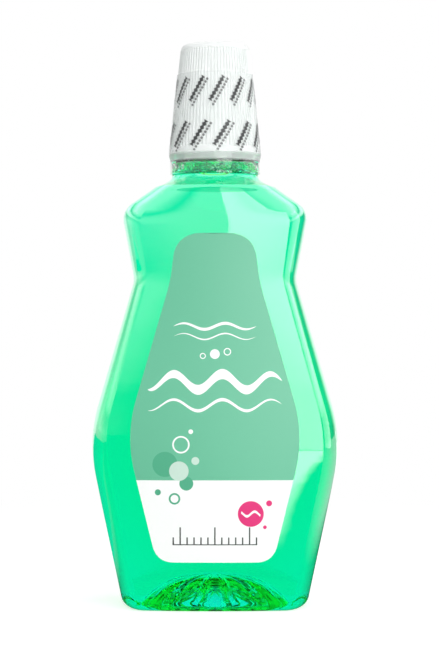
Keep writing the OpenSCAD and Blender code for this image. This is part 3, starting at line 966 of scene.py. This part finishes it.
def cap_piece():
    """The cap in one moulding, without its ribs and thread: skirt, dosing cup and threaded skirt."""
    low, high = CAP_Z + CAP_RIM_H, CAP_TOP - CAP_EDGE_R
    join = CAP_TOP - CAP_ROOF - 1.5
    cup_out = CUP_TOP_R + SKIRT_WALL
    edge = cap_r(high) - RIB_T * 0.4
    profile = [(0, CAP_TOP - 0.35), (0, CAP_TOP - CAP_ROOF)]
    profile += arc((CUP_TOP_R - 1, CAP_TOP - CAP_ROOF - 1), 1, 90, 0)
    profile += [(CUP_R, LEDGE_Z), (SKIRT_R, LEDGE_Z), (SKIRT_R, CAP_Z + 2.4), (SKIRT_R + 0.4, CAP_Z + 2)]
    skirt_out, shelf = SKIRT_R + SKIRT_WALL, LEDGE_Z + SKIRT_WALL
    profile += [(skirt_out, CAP_Z + 2), (skirt_out, shelf - 0.4), (skirt_out - 0.4, shelf)]
    profile += [(CUP_R + SKIRT_WALL, shelf)]
    profile += [(cup_out, join), (max(cap_r(join) - RIB_T - CAP_WALL, cup_out + 0.2), join)]
    profile += [(cap_r(LEDGE_Z) - RIB_T - CAP_WALL, LEDGE_Z), (cap_r(CAP_Z) - CAP_WALL - 0.3, CAP_Z)]
    profile += [(cap_r(CAP_Z) - 0.4, CAP_Z), (cap_r(CAP_Z + 0.4), CAP_Z + 0.4)]
    profile += [(cap_r(low - 0.3), low - 0.3), (cap_r(low) - 0.12, low)]
    profile += [(cap_r(low + 0.3) - RIB_T, low + 0.3)]
    profile += [(cap_r(high) - RIB_T, high - 0.4), (edge, high)]
    profile += arc((edge - CAP_EDGE_R, high), CAP_EDGE_R, 0, 90, 10)[1:]
    profile += [(edge - CAP_EDGE_R - 0.8, CAP_TOP), (edge - CAP_EDGE_R - 1.3, CAP_TOP - 0.35)]
    points, faces = revolve(profile, RIB_COUNT * 3)
    return mesh_piece("dosing_cap", points, faces, [CAP_WHITE], 28)


def cap_ribs_piece():
    """The cap's grip ribs, from its rim to its rounded top edge."""
    half = 0.4
    low, high = CAP_Z + CAP_RIM_H, CAP_TOP - CAP_EDGE_R
    return grown("cap_ribs", rib_tree(CAP_WHITE), {
        "Count": RIB_COUNT,
        "Low Radius": (cap_r(low) - half) * MM,
        "Low Height": low * MM,
        "High Radius": (cap_r(high) - half) * MM,
        "High Height": high * MM,
        "Half Width": half * MM,
    }, CAP_WHITE)


def neck_thread_piece():
    """The thread outside the finish."""
    return grown("neck_thread", thread_tree(CLEAR), {
        "Radius": (FINISH_R - 0.1) * MM,
        "Start Height": NECK_THREAD_Z * MM,
        "Pitch": THREAD_PITCH * MM,
        "Turns": THREAD_TURNS,
        "Depth": 1.0 * MM,
    }, CLEAR, 50)


def cap_thread_piece():
    """The thread inside the cap's skirt."""
    return grown("cap_thread", thread_tree(CAP_WHITE), {
        "Radius": (SKIRT_R + 0.1) * MM,
        "Start Height": CAP_THREAD_Z * MM,
        "Pitch": THREAD_PITCH * MM,
        "Turns": THREAD_TURNS,
        "Depth": 0.95 * MM,
    }, CAP_WHITE, 50)


def bubbles_piece():
    """The bubbles in the neck ring, on the mouthwash and in its foam."""
    return grown("surface_bubbles", bubble_tree(MINT_DROPS), {
        "Count": 260,
        "Wall Radius": (RING_BORE_R - 5.6) * MM,
        "Ring Width": 7 * MM,
        "Level": (LIQUID_LEVEL - 0.5) * MM,
        "Headroom": (CAVITY_Z - LIQUID_LEVEL + 0.6) * MM,
        "Smallest": 0.45 * MM,
        "Largest": 1.75 * MM,
        "Seed": 7,
    }, MINT_DROPS)


def foam_piece():
    """Wet foam packed against the wall of the neck ring, dimpled by the bubbles in it."""
    low, high = LIQUID_LEVEL + 0.06, CAVITY_Z - 0.12
    wall, deep = RING_BORE_R - 0.08, RING_BORE_R - 5.4
    middle = (low + high) / 2
    tiers, cols = 20, 8
    profile = [(wall, low + (high - low) * k / tiers) for k in range(tiers + 1)]
    profile += [(wall - (wall - deep) * k / cols, high) for k in range(1, cols + 1)]
    profile += [(deep, high - (high - low) * k / cols) for k in range(1, cols + 1)]
    profile += [(wall - (wall - deep) * (1 - k / cols), low) for k in range(1, cols)]
    points, faces = revolve(profile, 360)
    dimpled = []
    for x, y, z in points:
        cell = noise.voronoi(Vector((x, y, z * 1.1)) * 0.5, distance_metric="DISTANCE")[0][0]
        pull = 1 - 0.085 * min(1.0, cell * 1.4) ** 1.3
        dimpled.append((x * pull, y * pull, middle + (z - middle) * (1 - 0.3 * min(1.0, cell) ** 2)))
    return mesh_piece("foam_collar", dimpled, faces, [MINT_DROPS], 60)


def washer_piece():
    """The foam washer between the mouth and the cap's ledge, with soft edges."""
    low, high = MOUTH_Z + WASHER_GAP, LEDGE_Z - WASHER_GAP
    soft = 0.2
    profile = arc((FINISH_R - soft, low + soft), soft, -90, 0, 3)
    profile += arc((FINISH_R - soft, high - soft), soft, 0, 90, 3)
    profile += arc((BORE_R + soft, high - soft), soft, 90, 180, 3)
    profile += arc((BORE_R + soft, low + soft), soft, 180, 270, 3)
    points, faces = revolve(profile, 128)
    return mesh_piece("foam_washer", points, faces, [FOAM_WHITE], 60)


def band_piece():
    """Shrink film over the ribs, drawn in below the rim to the neck ring, with creases and a wavy hem."""
    low, high = BODY_H + HEM_GAP, CAP_TOP - BAND_BARE
    rows, turns = 64, 288
    points, faces = [], []

    def radius(z, turn):
        """The film's radius: over the ribs high up, under the rim low down."""
        over = cap_r(max(z, CAP_Z)) + FILM_GAP
        under = RING_R + FILM_GAP
        k = min(1.0, max(0.0, (z - (RING_TOP - 1)) / (CAP_Z + 0.6 - RING_TOP + 1)))
        k = k * k * (3 - 2 * k)
        ruffle = (1 - k) * (0.28 + 0.26 * math.sin(turn * 13 + 0.6) * math.sin(turn * 5 + z * 0.3))
        stand = 0.22 * max(0.0, math.sin(turn * 2 + 0.4)) * math.sin(math.pi * (z - low) / (high - low)) ** 2
        crease = 0.07 * math.sin(turn * 9 + z * 0.21) ** 2 + 0.05 * math.sin(turn * 23 - z * 0.13) ** 2
        return under * (1 - k) + over * k + ruffle + stand + crease * k

    for side in (0, 1):
        for i in range(rows + 1):
            share = i / rows
            for j in range(turns):
                turn = 2 * math.pi * j / turns
                z = low + (high - low) * share
                if share > 0.98:
                    z += 0.25 * math.sin(turn * 7 + 1) * math.sin(turn * 3)
                r = radius(z, turn) + (0 if side else FILM_T)
                points.append((r * math.sin(turn), -r * math.cos(turn), z))
    n = (rows + 1) * turns
    for i in range(rows):
        for j in range(turns):
            a, b = i * turns + j, i * turns + (j + 1) % turns
            faces.append((a, b, b + turns, a + turns))
            faces.append((n + b, n + a, n + a + turns, n + b + turns))
    for j in range(turns):
        a, b = j, (j + 1) % turns
        faces.append((b, a, n + a, n + b))
        a, b = rows * turns + j, rows * turns + (j + 1) % turns
        faces.append((a, b, n + b, n + a))
    return mesh_piece("seal_film", points, faces, [FILM], 60)


def settle(piece, body, slot, *nodes):
    """Puts a piece on its body, in place of the source's nodes. Its slot is not used."""
    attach(piece, body)
    if nodes:
        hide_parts(*nodes)


settle(bottle_piece(), "container", "clear_pet", "bottle")
settle(neck_thread_piece(), "container", "clear_pet")
settle(lugs_piece(), "container", "clear_pet")
settle(liquid_piece(), "container", "green_liquid", "mouthwash")
settle(bubbles_piece(), "container", "green_liquid")
settle(foam_piece(), "container", "green_liquid")
settle(label_piece(), "container", "label_film", "front_label")
settle(washer_piece(), "washer", "foam", "seal_ring")
settle(band_piece(), "band", "shrink_film", "seal_band")
settle(cap_piece(), "closure", "white_plastic", "cap")
settle(cap_ribs_piece(), "closure", "white_plastic")
settle(cap_thread_piece(), "closure", "white_plastic")


# Stage, lights and camera


FLOOR_GREY = (0.7, 0.7, 0.7, 1)
# Painted colours on the floor: a darker tint near the bottle and a lighter one right under it, both seen
# through the glass, and a green glow seen only in gloss
FLOOR_PAINTED_SHADE_TINT = (0.8, 0.88, 0.75, 1)
FLOOR_PAINTED_LIGHT_TINT = (0.4, 0.9, 1, 1)
FLOOR_PAINTED_CAUSTIC_GREEN = (0.02, 1, 0.6, 1)


def white_floor():
    """White that glows by itself far off and takes a soft shadow near the bottle.

    Gloss shows it dark in front but white far behind, with painted reflections on it: a pale oblong glow on
    the right, a fainter glow further right, and a green glow behind on the left that stands in for the light
    that crosses the liquid.
    Through the glass it shows a painted shadow and a darker green tint near the bottle, and painted light
    right under it.
    """
    made, graph, out = material("white floor")
    x, y, _ = place_of(graph)[1]
    path = graph.node("ShaderNodeLightPath")
    camera, passed = graph.out(path, "Is Camera Ray"), graph.out(path, "Is Transmission Ray")
    gloss = graph.out(path, "Is Glossy Ray") * (1.0 - passed)
    far = (x * x + y * y).sum("SQRT")
    near = 1.0 - ramp(far - 120.0, 420.0)
    near = near * near * (3.0 - near * 2.0)
    # Painted light: right under the bottle the floor, seen through the glass, glows brighter, standing in
    # for light that comes through the bottle
    below = 1.0 - ramp(far - 30.0, 25.0)
    # Painted shade: near the bottle the floor, seen through the glass, is tinted a darker green
    painted_shade_low = 1.0 - ramp(far - 200.0, 450.0)
    # Painted reflections, seen only in gloss: a bright oblong glow on the right and a fainter glow further
    # right
    painted_oblong_glow = (
        ramp(x - 20.0, 20.0) * ramp(13.0 - y * 0.313 - x, 14.0)
        * ramp(-110.0 - y, 40.0) * ramp(755.0 + y, 12.0)
    )
    right = ramp(x - 90.0, 60.0) * ramp(y + 260.0, 80.0)
    behind = ramp(y - 200.0 - abs(x) * 2.4, 120.0)
    # Painted reflection: a green glow behind on the left, standing in for light that has crossed the liquid
    painted_caustic_glow = ramp(-30.0 - x, 30.0) * ramp(y - 40.0, 80.0) * (1.0 - behind)
    beside = ramp(abs(x) - 48.0, 20.0)
    # Through the glass the floor shows a painted shadow near the bottle, less beside it, and painted light
    # right under it
    plain = camera * (1.0 - near * 0.4) + passed * (1.0 - near * 0.5 * (1.0 - beside) + below * 1.7)
    tint = graph.mix(painted_shade_low * passed * (1.0 - beside), WHITE, FLOOR_PAINTED_SHADE_TINT)
    tint = graph.mix(below * passed, tint, FLOOR_PAINTED_LIGHT_TINT)
    glow = graph.node("ShaderNodeEmission", Color=tint, Strength=plain)
    paint = graph.node("ShaderNodeBsdfDiffuse", Color=graph.mix(near, BLACK, FLOOR_GREY))
    lit = graph.node("ShaderNodeAddShader", _0=glow.outputs[0], _1=paint.outputs[0])
    shown = graph.node(
        "ShaderNodeEmission",
        Color=graph.mix(painted_caustic_glow, WHITE, FLOOR_PAINTED_CAUSTIC_GREEN),
        Strength=painted_oblong_glow * 6.0 + right * 0.5 + behind + painted_caustic_glow * 0.55 + 0.02,
    )
    choice = graph.node("ShaderNodeMixShader", _0=gloss, _1=lit.outputs[0], _2=shown.outputs[0])
    graph.feed(out.inputs["Surface"], choice.outputs[0])
    return made


def white_backdrop():
    """White behind the bottle."""
    made, graph, out = material("white backdrop")
    glow = graph.node("ShaderNodeEmission", Color=WHITE, Strength=1.0)
    graph.feed(out.inputs["Surface"], glow.outputs[0])
    return made


def stage_plane(name, points, mat):
    """A flat sheet of the stage, its corners in metres."""
    mesh = bpy.data.meshes.new(name)
    mesh.from_pydata(points, [], [(0, 1, 2, 3)])
    mesh.materials.append(mat)
    obj = bpy.data.objects.new(name, mesh)
    bpy.context.collection.objects.link(obj)
    return obj


stage_plane("floor", [(-3, -3, 0), (3, -3, 0), (3, 3, 0), (-3, 3, 0)], white_floor())
backdrop = stage_plane(
    "backdrop", [(-0.45, 1.3, 0.002), (0.45, 1.3, 0.002), (0.45, 1.3, 1.1), (-0.45, 1.3, 1.1)],
    white_backdrop(),
)
backdrop.visible_camera = False


def studio_world():
    """White for the camera and through glass.

    Gloss shows a pale ceiling, a faint band above the softboxes, a glow on the left and a grey far side.
    """
    world = bpy.data.worlds.new("studio")
    bpy.context.scene.world = world
    world.use_nodes = True
    world.node_tree.nodes.clear()
    graph = Graph(world.node_tree)
    out = graph.node("ShaderNodeOutputWorld")
    path = graph.node("ShaderNodeLightPath")
    camera = graph.out(path, "Is Camera Ray")
    passed = graph.out(path, "Is Transmission Ray")
    gloss = graph.out(path, "Is Glossy Ray") * (1.0 - passed)
    other = 1.0 - either(camera, passed, gloss)
    sight = graph.node("ShaderNodeTexCoord").outputs["Generated"]
    split = graph.node("ShaderNodeSeparateXYZ", Vector=sight)
    x, y, rise = [graph.out(split, i) for i in range(3)]
    band = ((rise - 0.17) * 14.0).clamp() * (1.0 - (rise - 0.3) * 12.0).clamp()
    ceiling = ((rise - 0.38) * 5.0).clamp()
    left = ((-x - 0.2) * 6.0).clamp() * ((rise + 0.11) * 6.5).clamp() * (1.0 - rise * 4.2).clamp()
    behind = ((y - 0.9) * 14.0).clamp()
    shown = band * 1.5 + ceiling * 2.4 + left * 0.9 + behind * 0.95 + 0.03
    strength = camera + passed * 1.06 + gloss * shown + other * 0.46
    light = graph.node("ShaderNodeBackground", Color=WHITE, Strength=strength)
    graph.feed(out.inputs["Surface"], light.outputs[0])


studio_world()


def softbox(name, turn, far, low, size, radiance, shown=True):
    """An upright rectangular light, shown in gloss or not.

    It stands turn degrees round from the camera's side, with its lower edge at height low.
    """
    data = bpy.data.lights.new(name, "AREA")
    data.shape = "RECTANGLE"
    data.size, data.size_y = size
    data.energy = radiance * size[0] * size[1] * math.pi
    lamp = bpy.data.objects.new(name, data)
    bpy.context.collection.objects.link(lamp)
    turn = math.radians(turn)
    away = Vector((math.sin(turn), -math.cos(turn), 0))
    lamp.location = away * far + Vector((0, 0, low + size[1] / 2))
    lamp.rotation_euler = away.to_track_quat("Z", "Y").to_euler()
    lamp.visible_camera = False
    lamp.visible_transmission = False
    lamp.visible_glossy = shown


softbox("main softbox", 24, 0.75, 0.005, (0.558, 0.55), 4.2)
softbox("left softbox", -105, 1.0, 0.1, (1.5, 0.8), 0.25)
softbox("left fill", -55, 1.0, 0.1, (0.9, 0.8), 1.3, False)
softbox("right softbox", 105, 1.0, 0.005, (1.0, 0.9), 1.4)

# The photo's view: straight from the front, level with the middle of the bottle
view = bpy.data.cameras.new("photo view")
view.lens = 109.6
view.sensor_width = 36
view.clip_start = 0.01
camera = bpy.data.objects.new("photo view", view)
bpy.context.collection.objects.link(camera)
camera.location = (0.002, -0.9, 0.1226)
camera.rotation_euler = (math.radians(90), 0, 0)
bpy.context.scene.camera = camera

scene = bpy.context.scene
scene.view_settings.view_transform = "Standard"
# Enough bounces for light to cross film, plastic, liquid and bubbles
scene.cycles.max_bounces = 24
scene.cycles.transmission_bounces = 20
scene.cycles.glossy_bounces = 10
scene.cycles.transparent_max_bounces = 24
